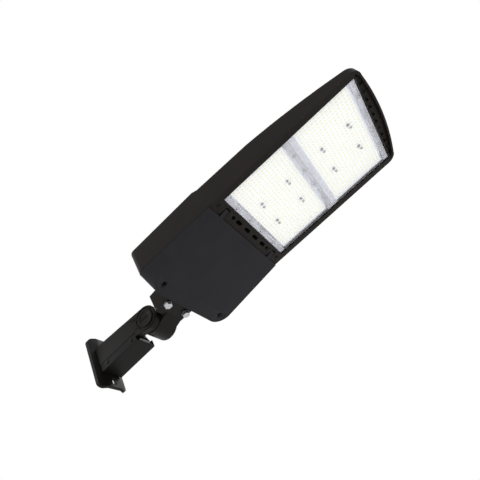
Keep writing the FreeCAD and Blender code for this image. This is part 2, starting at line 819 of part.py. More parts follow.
def add_housing_details(housing):
    """Ledge and gussets, bosses, vent slots, hinge pockets and the holes for what is fixed on."""
    wall = sizes.housing_wall
    ledge_low = sizes.rim_drop - sizes.tongue_drop
    ledge_top = ledge_low + sizes.ledge_thick
    start = -sizes.tongue_length - 1
    half = sizes.tongue_width / 2
    pad(housing, "XY", ledge_low, ledge_top, rectangle(start, -half, wall - 1, half))
    for low, high in ((-half, sizes.gusset_thick - half), (half - sizes.gusset_thick, half)):
        pad(housing, "XZ", low, high,
            [(start, ledge_top - 1), (wall - 1, ledge_top - 1), (wall - 1, sizes.gusset_height + 8),
             (-8, sizes.gusset_height), (start, sizes.gusset_height - 6)])
    pocket(housing, "XY", ledge_low - 1, 0, rectangle(-sizes.cover_gap - 1, -half - 1, wall, half + 1))
    # bosses for the cover's screws and for the driver tray
    places = cover_screw_places()
    pad(housing, "XY", 0, roof_underside() + 1, *circles(places, sizes.cover_boss))
    pocket(housing, "XY", -1, 22, *circles(places, sizes.cover_screw / 2 + 1.2))
    places = tray_screw_places()
    pad(housing, "XY", tray_top(), roof_underside() + 1, *circles(places, 7))
    pocket(housing, "XY", tray_top() - 1, tray_top() + 9, *circles(places, sizes.lens_screw / 2))
    # slotted strip between driver bay and lamp modules, with a pocket for each hinge tongue
    x = (strip_start() + strip_end()) / 2 + 1
    slots = [slot(x, sizes.vent_slot_pitch * place, sizes.vent_slot_length, sizes.vent_slot_width)
             for place in (-1.5, -0.5, 0.5, 1.5)]
    slots += [slot(x, sizes.vent_slot_pitch * place, sizes.vent_slot_length / 2 + 1, sizes.vent_slot_width)
              for place in (-2.15, 2.15)]
    pocket(housing, "XY", -1, sizes.strip_height + 1, *slots)
    room = sizes.hinge_width / 2 + 2
    pocket(housing, "XY", -1, sizes.hinge_rise + sizes.hinge_eye + 1.5,
           *[rectangle(strip_start() - 7, y - room, hinge_x() + sizes.hinge_eye + 2, y + room)
             for y in both(sizes.hinge_offset)])
    for y in both(sizes.hinge_offset):
        pocket(housing, "XZ", y - hinge_pin_half() - 0.1, y + hinge_pin_half() + 0.1,
               circle(hinge_x(), sizes.hinge_rise, sizes.hinge_pin / 2))
    places = [(corner_screw_x(), y) for y in both(corner_screw_y())]
    pocket(housing, "XY", -1, 8, *circles(places, sizes.corner_screw / 2))
    # ways for the leads, and holes for the lamp modules' screws, the bracket, the gland and the earth
    places = [(y, lead_z()) for y in both(lead_y())]
    pocket(housing, "YZ", sizes.driver_bay_length - 1, strip_start() + 1,
           *circles(places, sizes.lead / 2 + 2))
    places = [(lead_drop_x(), y) for y in both(lead_y())]
    pocket(housing, "XY", sizes.strip_height, plate_top() + 1, *circles(places, sizes.lead / 2 + 1))
    base = sizes.lens_height + sizes.gasket_thick
    pocket(housing, "XY", base - 1, plate_top() - 1,
           *circles(end_screw_places() + post_screw_places(), sizes.lens_screw / 2))
    places = [(bracket_bolt_x() - sizes.head_gap, y) for y in both(sizes.bracket_bolt_spacing / 2)]
    pocket(housing, "XY", ledge_low - 1, ledge_top - 1, *circles(places, sizes.bracket_bolt / 2))
    pocket(housing, "YZ", -1, wall + 1, circle(0, gland_z(), sizes.gland_thread / 2))
    pocket(housing, "YZ", 1.5, wall + 1,
           circle(sizes.ground_offset, sizes.ground_rise, sizes.ground_thread / 2))


def cover_screw_places():
    return [(sizes.cover_screw_in, y) for y in both(sizes.housing_width / 2 - sizes.cover_screw_aside)]


def driver_middle():
    return sizes.driver_bay_length - sizes.driver_setback


def tray_start():
    """The tray begins clear of the cover screws' bosses."""
    return cover_screw_places()[0][0] + sizes.cover_boss + 3


def tray_screw_places():
    last = driver_middle() + sizes.driver_width / 2 + 8
    return [(x, y) for x in (tray_start() + 12, last) for y in both(sizes.tray_screw_offset)]


def tray_top():
    return roof_underside() - sizes.tray_drop


def corner_screw_x():
    return hinge_x() - 2


def corner_screw_y():
    """Beyond the end of the hinge pin, with room for the screw's head."""
    return sizes.hinge_offset + hinge_pin_half() + sizes.corner_screw_aside


def hinge_pin_half():
    return sizes.hinge_width / 2 + 6


def lead_y():
    """Leads run in the gap between two fins."""
    return sizes.fin_pitch * 8.5


def lead_z():
    return sizes.strip_height + sizes.base_plate + 8


def lead_drop_x():
    return lens_start() + 26


def gland_z():
    return sizes.rim_drop - sizes.tongue_drop + sizes.ledge_thick + sizes.gland_hex / 2 + 4


# ---------------------------------------------------------------- lamp modules

def module_span(number):
    """X of one module's two ends, with half the assembly gap taken off each."""
    start = lens_start() + number * sizes.lens_length
    return start + sizes.lens_gap / 2, start + sizes.lens_length - sizes.lens_gap / 2


def rows_across():
    return [sizes.lens_width * share for share in (-0.32, -0.115, 0.085, 0.3)]


def end_screw_places():
    """Rows of four: at the driver end, where the two modules meet, and at the tip end."""
    margin = sizes.lens_end_margin / 2
    ends = (lens_start() + margin, lens_start() + sizes.lens_length - margin, lens_end() - margin)
    return [(x, y) for x in ends for y in rows_across()]


def post_screw_places(numbers=(0, 1)):
    half = sizes.post_pitch / 2
    places = []
    for number in numbers:
        middle = lens_start() + sizes.lens_length * (number + 0.5)
        places += [(middle + a, b) for a in both(half) for b in both(half)]
    return places


def make_lens(number, name):
    """Clear moulded panel: a thin flange all round, a raised field and posts to the base plate."""
    x0, x1 = module_span(number)
    half = sizes.lens_width / 2 - sizes.lens_gap / 2
    lens = new_body(f"lens_{name}", *head())
    low = sizes.lens_height - sizes.lens_flange
    pad(lens, "XY", low, sizes.lens_height, rectangle(x0, -half, x1, half))
    ends = sizes.lens_end_margin
    sides = sizes.lens_side_margin
    pad(lens, "XY", 0, low, rounded(x0 + ends, -half + sides, x1 - ends, half - sides, 5))
    wall = sizes.lens_wall
    pocket(lens, "XY", wall, sizes.lens_height,
           rectangle(x0 + ends + wall, -half + sides + wall, x1 - ends - wall, half - sides - wall))
    posts = post_screw_places((number,))
    rows = [(a, b) for a, b in end_screw_places() if float(x0) < float(a) < float(x1)]
    hole = sizes.lens_screw / 2 + 0.3
    pad(lens, "XY", wall - 0.5, lens_back(), *circles(posts, sizes.post_radius))
    pocket(lens, "XY", -1, low, *circles(rows, 8))
    pocket(lens, "XY", -1, lens_back() + 1, *circles(posts + rows, hole))
    return keep(lens)


def lens_back():
    return sizes.lens_height + sizes.gasket_thick - sizes.board_thick


def window(number, margin):
    """Outline inside a module's flange, moved out by a margin."""
    x0, x1 = module_span(number)
    half = sizes.lens_width / 2 - sizes.lens_gap / 2
    ends = sizes.lens_end_margin + sizes.lens_wall - margin
    sides = sizes.lens_side_margin + sizes.lens_wall - margin
    return rectangle(x0 + ends, -half + sides, x1 - ends, half - sides)


def make_gasket_and_board(number, name):
    """Silicone ring under the flange, and the LED board inside it, flat on the base plate."""
    gasket = new_body(f"lens_gasket_{name}", *head())
    x0, x1 = module_span(number)
    half = sizes.lens_width / 2 - sizes.lens_gap / 2
    top = sizes.lens_height + sizes.gasket_thick
    rows = [(a, b) for a, b in end_screw_places() if float(x0) < float(a) < float(x1)]
    pad(gasket, "XY", sizes.lens_height, top, rectangle(x0 + 1, -half + 1, x1 - 1, half - 1),
        window(number, 0), *circles(rows, sizes.lens_screw / 2 + 0.4))
    keep(gasket)
    board = new_body(f"led_board_{name}", *head())
    posts = post_screw_places((number,))
    pad(board, "XY", top - sizes.board_thick, top, window(number, -sizes.slip),
        *circles(posts, sizes.lens_screw / 2 + 0.3))
    keep(board)


def make_lens_screws():
    low = sizes.lens_height - sizes.lens_flange
    thread = sizes.lens_screw - 2 * sizes.running
    deep = sizes.lens_flange + sizes.gasket_thick + sizes.base_plate - 2
    keep(screw_set("lens_end_screws", head(), "XY", low, 1, sizes.lens_screw_head, 2.4, thread, deep,
                   end_screw_places()))
    through = lens_back() + sizes.board_thick + sizes.base_plate - 2
    keep(screw_set("lens_post_screws", head(), "XY", 0, 1, sizes.lens_screw_head, 1.6, thread, through,
                   post_screw_places()))


# ---------------------------------------------------------------- driver cover

def cover_outline(inset, taper, end_taper, rounding):
    """Plan of the cover: rounded at its mounting end, straight at the hinge end."""
    half = sizes.housing_width / 2 - inset - taper
    start = inset + end_taper
    end = sizes.driver_bay_length + 4 - inset
    corner = rounding - inset
    return [(start + corner, -half), (end, -half), (end, half), (start + corner, half),
            (start, half - corner, corner), (start, -half + corner), ("close", corner)]


def cover_shell(label, inset, top, floor):
    """Wedge-shaped tray: deep at the mounting end, tapered in at the sides, shallow at the hinge."""
    shell = new_body(label)
    depth = sizes.cover_depth
    loft(shell, [(top, cover_outline(inset, 0, 0, sizes.mount_corner)),
                 (-depth, cover_outline(inset, sizes.cover_taper, sizes.cover_end_taper, sizes.cover_corner))])
    end = sizes.driver_bay_length + 5
    shallow = cover_hinge_depth()
    pocket(shell, "XZ", -sizes.housing_width, sizes.housing_width,
           [(-1, floor - depth), (-1, -depth * 2), (end, -depth * 2), (end, floor - shallow)])
    return shell


def cover_hinge_depth():
    return sizes.cover_gap + sizes.cover_wall


def make_driver_cover():
    top = -sizes.cover_gap
    outer = cover_shell("cover_outside", 0.4, top, 0)
    inner = cover_shell("cover_inside", sizes.cover_rim + 0.4, top, sizes.cover_wall)
    groove = new_body("cover_groove")
    pad(groove, "XY", top - sizes.cover_gasket_deep, top + 1, *gasket_ring(0.1))
    bored = new_body("cover_screw_holes")
    places = cover_screw_places()
    pad(bored, "XY", -sizes.cover_depth - 1, top + 1, *circles(places, sizes.cover_screw / 2 + sizes.slip))
    pad(bored, "XY", -sizes.cover_depth - 1, screw_seat(), *circles(places, sizes.cover_screw + 1))
    bosses = new_body("cover_bosses")
    pad(bosses, "XY", -sizes.cover_depth, top - sizes.cover_gasket_deep - 0.5,
        *circles(places, sizes.cover_boss + 1))
    held = doc.addObject("Part::MultiCommon", "cover_bosses_inside")
    held.Shapes = [bosses, outer]
    tongues = new_body("cover_tongues")
    eye = sizes.hinge_eye
    for y in both(sizes.hinge_offset):
        half = sizes.hinge_width / 2
        edge = sizes.driver_bay_length + 1
        pad(tongues, "XZ", y - half, y + half,
            [(edge, -cover_hinge_depth() + 0.2), (hinge_x(), sizes.hinge_rise - eye),
             (hinge_x(), sizes.hinge_rise + eye, eye), (hinge_x() - eye, sizes.hinge_rise + eye),
             (hinge_x() - eye, top), (edge, top)])
        pocket(tongues, "XZ", y - half - 1, y + half + 1,
               circle(hinge_x(), sizes.hinge_rise, sizes.hinge_pin / 2 + sizes.running))
    shell = cut("cover_shell", outer, inner)
    whole = fuse("cover_whole", shell, held, tongues)
    cover = cut("driver_cover", whole, groove, bored)
    keep(place_in_head(cover))


def place_in_head(piece):
    x, y, z = head()
    return bind(piece, x=x, y=y, z=z)


def gasket_ring(margin):
    """Outer and inner outline of the gasket in the cover's rim, widened by a margin."""
    inset = sizes.cover_gap + 1.2
    return (cover_outline(inset - margin, 0, 0, sizes.mount_corner),
            cover_outline(inset + sizes.cover_gasket_wide + margin, 0, 0, sizes.mount_corner))


def screw_seat():
    return -sizes.cover_depth / 2 + 2


def make_cover_fittings():
    gasket = new_body("cover_gasket", *head())
    top = -sizes.cover_gap
    pad(gasket, "XY", top - sizes.cover_gasket_deep, top + sizes.cover_gap - sizes.slip, *gasket_ring(0))
    keep(gasket)
    keep(screw_set("cover_screws", head(), "XY", screw_seat(), 1, sizes.cover_screw * 1.8, 5,
                   sizes.cover_screw, 12 - screw_seat(), cover_screw_places()))
    pins = new_body("hinge_pins", *head())
    for y in both(sizes.hinge_offset):
        pad(pins, "XZ", y - hinge_pin_half(), y + hinge_pin_half(),
            circle(hinge_x(), sizes.hinge_rise, sizes.hinge_pin / 2))
    keep(pins)
    thread = sizes.corner_screw - 2 * sizes.running
    keep(screw_set("corner_screws", head(), "XY", 0, 1, sizes.corner_screw * 1.6, 1.8, thread, 7,
                   [(corner_screw_x(), y) for y in both(corner_screw_y())]))


# ---------------------------------------------------------------- driver bay

def make_driver_bay():
    top = tray_top()
    tray = new_body("driver_tray", *head())
    low = top - sizes.tray_thick
    corners = tray_screw_places()
    x0 = tray_start()
    x1 = corners[-1][0] + 12
    half = corners[-1][1] + 10
    pad(tray, "XY", low, top, rounded(x0, -half, x1, half, 6),
        *circles(corners, sizes.lens_screw / 2 + 0.3))
    keep(tray)
    keep(screw_set("tray_screws", head(), "XY", low, 1, 8, 3,
                   sizes.lens_screw - 2 * sizes.running, 9, corners))
    driver = new_body("led_driver", *head())
    mid = driver_middle()
    wide = sizes.driver_width / 2
    long = sizes.driver_length / 2
    base = low - sizes.driver_tall
    pad(driver, "XY", base, low, rounded(mid - wide, -long + 12, mid + wide, long - 12, 3))
    foot = low - sizes.driver_foot
    pad(driver, "XY", foot, low, rounded(mid - wide, -long, mid + wide, long, 5))
    feet = driver_feet(mid, long)
    pocket(driver, "XY", low - 3, low + 1, *circles(feet, sizes.lens_screw / 2 + 0.3))
    pocket(tray, "XY", low - 1, top + 1, *circles(feet, sizes.lens_screw / 2))
    keep(driver)
    keep(screw_set("driver_screws", head(), "XY", foot, 1, 7, 2.4,
                   sizes.lens_screw - 2 * sizes.running, 4, feet))
    surge = new_body("surge_protector", *head())
    start = x0 + 6
    middle = -sizes.surge_offset
    wide = sizes.surge_width / 2
    pad(surge, "XY", low - sizes.surge_tall, low,
        rounded(start, middle - wide, start + sizes.surge_length, middle + wide, 3))
    keep(surge)
    terminal = new_body("terminal_block", *head())
    start = terminal_start()
    end = start + sizes.terminal_length
    wide = sizes.terminal_width / 2
    base = low - sizes.terminal_tall
    pad(terminal, "XY", base, low, rectangle(start, terminal_y(0) - wide, end, terminal_y(0) + wide))
    for number in (-1, 0, 1):
        for x_low, x_high in ((start - 1, start + 6), (end - 6, end + 1)):
            pocket(terminal, "YZ", x_low, x_high, circle(terminal_y(number), terminal_z(), sizes.lead / 2 + 0.6))
        pocket(terminal, "XY", base - 1, base + 4, circle((start + end) / 2, terminal_y(number), 2.5))
    keep(terminal)


def driver_feet(mid, long):
    return [(mid + a, b) for a in both(22) for b in both(long - 6)]


def terminal_start():
    return tray_start() + 8


def terminal_y(number):
    return sizes.terminal_offset + sizes.terminal_pitch * number


def terminal_z():
    return tray_top() - sizes.tray_thick - sizes.terminal_tall / 2


def make_gland():
    """Supply gland in the end wall, above the ledge: body, dome nut and lock nut."""
    gland = new_body("cable_gland", *head())
    z = gland_z()
    bore = sizes.wire / 2 + 1.5
    wall = sizes.housing_wall
    middle = (0, z)
    r = sizes.gland_thread / 2
    flange = -sizes.gland_flange
    dome = flange - sizes.gland_dome
    nut = wall + sizes.gland_lock_nut
    pad(gland, "YZ", flange, 0, hexagon(*middle, sizes.gland_hex))
    pad(gland, "YZ", dome, flange, circle(*middle, r + 0.5))
    pad(gland, "YZ", 0, nut + 3, circle(*middle, r - sizes.running))
    pad(gland, "YZ", wall, nut, hexagon(*middle, sizes.gland_hex))
    pocket(gland, "YZ", dome - 1, nut + 4, circle(*middle, bore))
    keep(gland)
    screw = new_body("ground_screw", *head())
    place = (sizes.ground_offset, sizes.ground_rise)
    pad(screw, "YZ", wall, wall + 3, hexagon(*place, sizes.ground_thread * 1.6))
    pad(screw, "YZ", 2, wall, circle(*place, sizes.ground_thread / 2 - sizes.running))
    keep(screw)


def tube(points, diameter):
    """Round lead along straight runs joined by tangent arcs, each as large as its runs allow."""
    vectors = [FreeCAD.Vector(*[float(c) for c in p]) for p in points]
    edges = []
    start = vectors[0]
    for before, corner, after in zip(vectors, vectors[1:], vectors[2:]):
        back = (before - corner).normalize()
        ahead = (after - corner).normalize()
        half_turn = (math.pi - back.getAngle(ahead)) / 2
        shorter = min((before - corner).Length, (after - corner).Length)
        run = 0.45 * shorter
        radius = run / math.tan(half_turn)
        entry = corner + back * run
        leave = corner + ahead * run
        bisector = (back + ahead).normalize()
        middle = corner + bisector * (radius / math.cos(half_turn) - radius)
        edges.append(Part.LineSegment(start, entry).toShape())
        edges.append(Part.Arc(entry, middle, leave).toShape())
        start = leave
    edges.append(Part.LineSegment(start, vectors[-1]).toShape())
    path = Part.Wire(edges)
    along = (vectors[1] - vectors[0]).normalize()
    ring = Part.Wire([Part.Circle(vectors[0], along, float(diameter) / 2).toShape()])
    solid = path.makePipeShell([ring], True, True)
    expected = math.pi * float(diameter) ** 2 / 4 * path.Length
    if abs(solid.Volume / expected - 1) > 0.02:
        raise SystemExit(f"a lead's tube has volume {solid.Volume:.0f}, not {expected:.0f}")
    return solid


def make_leads():
    """Wires held all the way inside the head, set straight from the sheet's numbers."""
    z_driver = tray_top() - sizes.tray_thick - sizes.driver_tall / 2
    wall = sizes.housing_wall
    mid = driver_middle()
    end = sizes.driver_length / 2 - 12
    port = terminal_start()
    supply = [tube([(wall + 9, 0, gland_z()), (28, 0, gland_z()), (33, 20, gland_z() + 4),
                    (30, terminal_y(0) - 6, terminal_z() - 3), (port - 0.5, terminal_y(0), terminal_z()),
                    (port + 5, terminal_y(0) + 0.2, terminal_z())], sizes.lead)]
    outputs = []
    for side in (-1, 1):
        y = lead_y() * side
        outputs.append(tube([(mid + 20, side * (end + 0.2), z_driver), (mid + 20, side * (end + 14), z_driver),
                             (mid + 44, side * (end + 10), z_driver - 3), (strip_start() - 6, y, lead_z()),
                             (lead_drop_x() - 12, y, lead_z()), (lead_drop_x(), y, lead_z() - 3),
                             (lead_drop_x(), y, sizes.strip_height + 0.3)], sizes.lead))
    for label, tubes in (("supply_lead", supply), ("lamp_leads", outputs)):
        piece = doc.addObject("Part::Feature", label)
        piece.Label = label
        piece.Shape = Part.makeCompound(tubes) if len(tubes) > 1 else tubes[0]
        piece.Placement.Base = FreeCAD.Vector(*[float(c) for c in head()])
        keep(place_in_head(piece))


# ---------------------------------------------------------------- the whole light

make_pole_arm()
make_wiring_cover()
make_arm_cover_screws()
make_grommet()
make_tilt_bracket()
make_bracket_bolts()
make_knuckle_bolt()
make_housing()
for number, name in enumerate(("inner", "outer")):
    make_lens(number, name)
    make_gasket_and_board(number, name)
make_lens_screws()
make_driver_cover()
make_cover_fittings()
make_driver_bay()
make_gland()
make_leads()
doc.recompute()

faults = [f"{item.Label}: {item.State}" for item in doc.Objects
          if "Invalid" in item.State or "Error" in item.State]
for piece in subparts:
    if piece.Shape.isNull() or not piece.Shape.isValid():
        faults.append(f"{piece.Label}: no valid shape")
if faults:
    raise SystemExit("not written: " + "; ".join(faults))

os.makedirs("parts", exist_ok=True)
for piece in subparts:
    piece.Shape.exportStep(f"parts/{piece.Label}.step")
    print(f"{piece.Label}: {len(piece.Shape.Solids)} solid(s), {piece.Shape.Volume / 1000:.1f} cm3")
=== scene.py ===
"""Looks of a shoebox area light on a tilting pole arm, seen from below. Lengths are in metres."""
import json
import math

import bmesh
import bpy
from mathutils import Matrix, Vector


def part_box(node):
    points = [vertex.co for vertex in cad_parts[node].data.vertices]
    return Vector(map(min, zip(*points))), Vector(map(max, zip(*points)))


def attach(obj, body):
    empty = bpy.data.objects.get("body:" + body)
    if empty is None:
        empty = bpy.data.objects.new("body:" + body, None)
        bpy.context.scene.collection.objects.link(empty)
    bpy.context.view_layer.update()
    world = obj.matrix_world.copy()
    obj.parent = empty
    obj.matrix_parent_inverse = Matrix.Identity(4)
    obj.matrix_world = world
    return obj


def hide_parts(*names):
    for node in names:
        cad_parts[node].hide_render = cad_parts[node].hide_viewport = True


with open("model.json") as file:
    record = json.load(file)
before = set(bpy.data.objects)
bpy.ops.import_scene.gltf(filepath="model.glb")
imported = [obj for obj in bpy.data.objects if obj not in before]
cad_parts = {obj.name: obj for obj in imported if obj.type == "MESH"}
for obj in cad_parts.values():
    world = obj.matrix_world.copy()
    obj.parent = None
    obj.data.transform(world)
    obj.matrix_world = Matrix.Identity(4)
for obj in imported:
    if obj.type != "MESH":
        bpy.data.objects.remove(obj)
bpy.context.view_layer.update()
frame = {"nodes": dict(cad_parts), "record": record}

nodes = frame["nodes"]
scene = bpy.context.scene
scene.view_settings.view_transform = "Standard"


# ---------------------------------------------------------------- studio
# A pale floor under the light and an even white world round it. Three soft lamps, low at the
# camera's side, at the pole end and high behind, draw the edges of the dark castings.

EYE = Vector((0.5698, -0.7459, -0.6601))
EYE_RIGHT = Vector((0.73264, 0.51257, -0.44779))
EYE_DOWN = Vector((-0.67113, 0.43456, -0.60062))
EYE_FORWARD = Vector((-0.11327, 0.74056, 0.66237))
FOCAL_PIXELS = 425
FRAME_PIXELS = 480
SENSOR_WIDTH = 36
NEAREST_SEEN = 0.01
FLOOR_Z = -0.95
FLOOR_HALF = 5
FLOOR_COLOUR = (0.92, 0.92, 0.91, 1)
FLOOR_ROUGHNESS = 0.8

camera_data = bpy.data.cameras.new("camera")
camera_data.sensor_width = SENSOR_WIDTH
camera_data.lens = SENSOR_WIDTH * FOCAL_PIXELS / FRAME_PIXELS
camera_data.clip_start = NEAREST_SEEN
camera = bpy.data.objects.new("camera", camera_data)
aimed = Matrix((EYE_RIGHT, -EYE_DOWN, -EYE_FORWARD)).transposed()
camera.matrix_world = Matrix.Translation(EYE) @ aimed.to_4x4()
scene.collection.objects.link(camera)
scene.camera = camera


def lamp(name, place, aim, size, watts, colour):
    data = bpy.data.lights.new(name, "AREA")
    data.size = size
    data.energy = watts
    data.color = colour
    obj = bpy.data.objects.new(name, data)
    obj.location = place
    obj.rotation_euler = (Vector(aim) - Vector(place)).to_track_quat("-Z", "Y").to_euler()
    scene.collection.objects.link(obj)


lamp("key", place=(0.9, -1.6, -0.75), aim=(0.5, 0, 0), size=1.2, watts=8, colour=(1, 0.98, 0.95))
lamp("pole_side", place=(-0.8, -0.9, 0.5), aim=(0.3, 0, 0), size=0.8, watts=5,
     colour=(0.95, 0.97, 1))
lamp("behind", place=(1.2, 1.3, 1.2), aim=(0.5, 0, 0), size=1.2, watts=12, colour=(1, 1, 1))

world = bpy.data.worlds.new("white_studio")
scene.world = world
world.use_nodes = True
sky = world.node_tree.nodes["Background"]
sky.inputs["Color"].default_value = (1, 1, 1, 1)
sky.inputs["Strength"].default_value = 1

floor_mesh = bpy.data.meshes.new("floor")
floor_mesh.from_pydata([(-FLOOR_HALF, -FLOOR_HALF, FLOOR_Z), (FLOOR_HALF, -FLOOR_HALF, FLOOR_Z),
                        (FLOOR_HALF, FLOOR_HALF, FLOOR_Z), (-FLOOR_HALF, FLOOR_HALF, FLOOR_Z)],
                       [], [(0, 1, 2, 3)])
floor = bpy.data.objects.new("floor", floor_mesh)
scene.collection.objects.link(floor)
pale = bpy.data.materials.new("pale_floor")
pale.use_nodes = True
pale.node_tree.nodes["Principled BSDF"].inputs["Base Color"].default_value = FLOOR_COLOUR
pale.node_tree.nodes["Principled BSDF"].inputs["Roughness"].default_value = FLOOR_ROUGHNESS
floor_mesh.materials.append(pale)


# ---------------------------------------------------------------- pole arm
# One hollow casting: plate with swept wings, arm and ear, powder coated in dark bronze. The coat
# is a fine orange peel, a little uneven in colour and sheen, and it rounds the casting's edges.

COAT_SPECULAR = 0.1
COAT_CLOUDS = 14
COAT_UNEVEN = 0.15
COAT_SHEEN_SPREAD = 0.06
PEEL_GRAIN = 900
WELD = 1e-6
FLAT_WITHIN = math.radians(1)
ROUNDED_OVER = math.radians(30)
CREASED_OVER = math.radians(26)
ROOM_PER_RADIUS = 2.5
ROUNDING_STEPS = 2
FULL_AREA_WEIGHT = 100


def new_material(name):
    """An empty material with its node tree, shader and the piece's own coordinates."""
    material = bpy.data.materials.new(name)
    material.use_nodes = True
    tree = material.node_tree
    coords = tree.nodes.new("ShaderNodeTexCoord")
    return material, tree, tree.nodes["Principled BSDF"], coords.outputs["Object"]


def noise(tree, place, scale, detail=2):
    pattern = tree.nodes.new("ShaderNodeTexNoise")
    pattern.inputs["Scale"].default_value = scale
    pattern.inputs["Detail"].default_value = detail
    tree.links.new(place, pattern.inputs["Vector"])
    return pattern.outputs["Fac"]


def tint(tree, pattern, shader, dark, pale, ends):
    """Base colour that runs from dark to pale as the pattern does."""
    ramp = tree.nodes.new("ShaderNodeValToRGB")
    for element, position, colour in zip(ramp.color_ramp.elements, ends, (dark, pale)):
        element.position = position
        element.color = [*colour, 1]
    tree.links.new(pattern, ramp.inputs["Fac"])
    tree.links.new(ramp.outputs["Color"], shader.inputs["Base Color"])


def sheen(tree, pattern, shader, least, most):
    """Roughness that runs from least to most as the pattern does."""
    span = tree.nodes.new("ShaderNodeMapRange")
    span.inputs["To Min"].default_value = least
    span.inputs["To Max"].default_value = most
    tree.links.new(pattern, span.inputs["Value"])
    tree.links.new(span.outputs["Result"], shader.inputs["Roughness"])


def relief(tree, pattern, shader, strength, depth):
    bump = tree.nodes.new("ShaderNodeBump")
    bump.inputs["Strength"].default_value = strength
    bump.inputs["Distance"].default_value = depth
    tree.links.new(pattern, bump.inputs["Height"])
    tree.links.new(bump.outputs["Normal"], shader.inputs["Normal"])


def powder_coat(name, colour, roughness):
    material, tree, shader, place = new_material(name)
    shader.inputs["Specular IOR Level"].default_value = COAT_SPECULAR
    cloud = noise(tree, place, COAT_CLOUDS, detail=4)
    tint(tree, cloud, shader, [c * (1 - COAT_UNEVEN) for c in colour],
         [c * (1 + COAT_UNEVEN) for c in colour], ends=(0.3, 0.7))
    sheen(tree, cloud, shader, roughness - COAT_SHEEN_SPREAD, roughness + COAT_SHEEN_SPREAD)
    relief(tree, noise(tree, place, PEEL_GRAIN), shader, strength=0.12, depth=0.0003)
    return material


def soften(node, name, radius, material, body):
    """A copy of a piece with its long sharp edges rounded over, in place of the plain node."""
    form = bmesh.new()
    form.from_mesh(nodes[node].data)
    bmesh.ops.remove_doubles(form, verts=form.verts, dist=WELD)
    bmesh.ops.dissolve_limit(form, angle_limit=FLAT_WITHIN, verts=form.verts, edges=form.edges,
                             delimit={"NORMAL"})
    crowded = {corner for edge in form.edges if edge.calc_length() < ROOM_PER_RADIUS * radius
               for corner in edge.verts}
    sharp = [edge for edge in form.edges
             if edge.is_manifold and edge.calc_face_angle(0) > ROUNDED_OVER
             and edge.verts[0] not in crowded and edge.verts[1] not in crowded]
    bmesh.ops.bevel(form, geom=sharp, offset=radius, segments=ROUNDING_STEPS, profile=0.5,
                    affect="EDGES", clamp_overlap=True)
    bmesh.ops.triangulate(form, faces=[face for face in form.faces if len(face.verts) > 4])
    mesh = bpy.data.meshes.new(name)
    form.to_mesh(mesh)
    form.free()
    mesh.shade_smooth()
    mesh.set_sharp_from_angle(angle=CREASED_OVER)
    mesh.materials.append(material)
    piece = bpy.data.objects.new(name, mesh)
    scene.collection.objects.link(piece)
    even = piece.modifiers.new("even_normals", "WEIGHTED_NORMAL")
    even.keep_sharp = True
    even.weight = FULL_AREA_WEIGHT
    piece.data = bpy.data.meshes.new_from_object(
        piece.evaluated_get(bpy.context.evaluated_depsgraph_get()))
    piece.data.name = name
    piece.modifiers.clear()
    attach(piece, body)
    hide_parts(node)


arm_coat = powder_coat("arm_powder_coat", colour=(0.0045, 0.0036, 0.003), roughness=0.4)
soften("pole_arm", "cast_pole_arm", 0.0012, arm_coat, "arm")


# ---------------------------------------------------------------- ear ribs
# A low rim and six short ribs on the ear's outer face, round the cap. They are cast with the
# ear, stiffen it and carry the arm's coat.

EAR_RIM = 0.0295
EAR_RIM_WIDE = 0.0024
CAP_BRIM = 0.003
RIB_RISE = 0.0016
RIB_WIDE = 0.0024
RIB_SINK = 0.0006
RIB_UNDER_CAP = 0.0005
RIBS = 6
RIM_SIDES = 64
BLOCK_FACES = ((0, 1, 2, 3), (7, 6, 5, 4), (0, 4, 5, 1), (1, 5, 6, 2), (2, 6, 7, 3), (3, 7, 4, 0))

pivot = Vector(next(joint["pos_m"] for joint in frame["record"]["behaviour"]["joints"]
                    if joint["name"] == "head_tilt"))
cap_low, cap_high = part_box("knuckle_cap")
cap_radius = (cap_high[0] - cap_low[0]) / 2
ear_face = cap_low[1] + CAP_BRIM
levels = (ear_face - RIB_RISE, ear_face + RIB_SINK)


def bridge(form, first, second):
    """Faces between two rings of corners."""
    for i in range(len(first)):
        following = (i + 1) % len(first)
        form.faces.new((first[i], first[following], second[following], second[i]))


ribs = bmesh.new()
rings = []
for radius in (EAR_RIM, EAR_RIM - EAR_RIM_WIDE):
    for y in levels:
        ring = []
        for i in range(RIM_SIDES):
            angle = math.tau * i / RIM_SIDES
            ring.append(ribs.verts.new((pivot.x + radius * math.cos(angle), y,
                                        pivot.z + radius * math.sin(angle))))
        rings.append(ring)
outer_low, outer_high, inner_low, inner_high = rings
bridge(ribs, outer_low, outer_high)
bridge(ribs, inner_high, inner_low)
bridge(ribs, inner_low, outer_low)
bridge(ribs, outer_high, inner_high)
for number in range(RIBS):
    angle = math.tau * (number + 0.5) / RIBS
    along = Vector((math.cos(angle), 0, math.sin(angle)))
    across = Vector((-math.sin(angle), 0, math.cos(angle))) * RIB_WIDE / 2
    start = Vector((pivot.x, 0, pivot.z)) + along * (cap_radius - RIB_UNDER_CAP)
    end = Vector((pivot.x, 0, pivot.z)) + along * (EAR_RIM - EAR_RIM_WIDE / 2)
    corners = [ribs.verts.new((p.x, y, p.z)) for y in levels
               for p in (start - across, start + across, end + across, end - across)]
    for quad in BLOCK_FACES:
        ribs.faces.new([corners[i] for i in quad])
bmesh.ops.recalc_face_normals(ribs, faces=ribs.faces)
ribs_mesh = bpy.data.meshes.new("ear_ribs")
ribs.to_mesh(ribs_mesh)
ribs.free()
ribs_mesh.materials.append(arm_coat)
ear_ribs = bpy.data.objects.new("ear_ribs", ribs_mesh)
scene.collection.objects.link(ear_ribs)
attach(ear_ribs, "arm")
